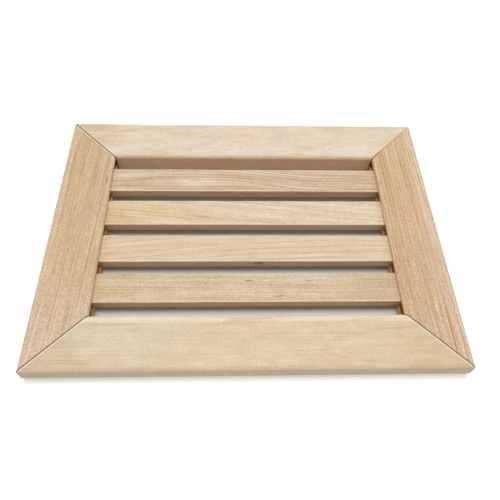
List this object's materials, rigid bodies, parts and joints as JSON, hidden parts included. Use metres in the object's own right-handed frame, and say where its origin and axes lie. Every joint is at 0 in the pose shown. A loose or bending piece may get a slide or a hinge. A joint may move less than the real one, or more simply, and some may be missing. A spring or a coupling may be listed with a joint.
{
  "type": "sauna air vent",
  "caption": "Flat wooden wall vent for a sauna: a mitred frame with rounded edges, and flat slats housed in grooves of its side boards with air gaps between them.",
  "frame": {"origin": "centre of the back of the frame, on the wall plane", "axes": "+X along the rails, +Y from the bottom rail to the top rail, +Z out of the wall to the room face"},
  "size_m": [0.3, 0.228, 0.016],
  "materials": {
    "rail_wood": "sanded, bare pale wood",
    "stile_wood": "sanded, bare tan wood",
    "slat_wood": "planed, bare pale wood",
    "fastener_steel": "bright wire and strip"
  },
  "bodies": {
    "root": {"top_rail": "rail_wood", "bottom_rail": "rail_wood", "left_stile": "stile_wood", "right_stile": "stile_wood", "slat_1": "slat_wood", "slat_2": "slat_wood", "slat_3": "slat_wood", "slat_4": "slat_wood", "mitre_v_nails": "fastener_steel", "slat_brads": "fastener_steel"}
  },
  "joints": []
}
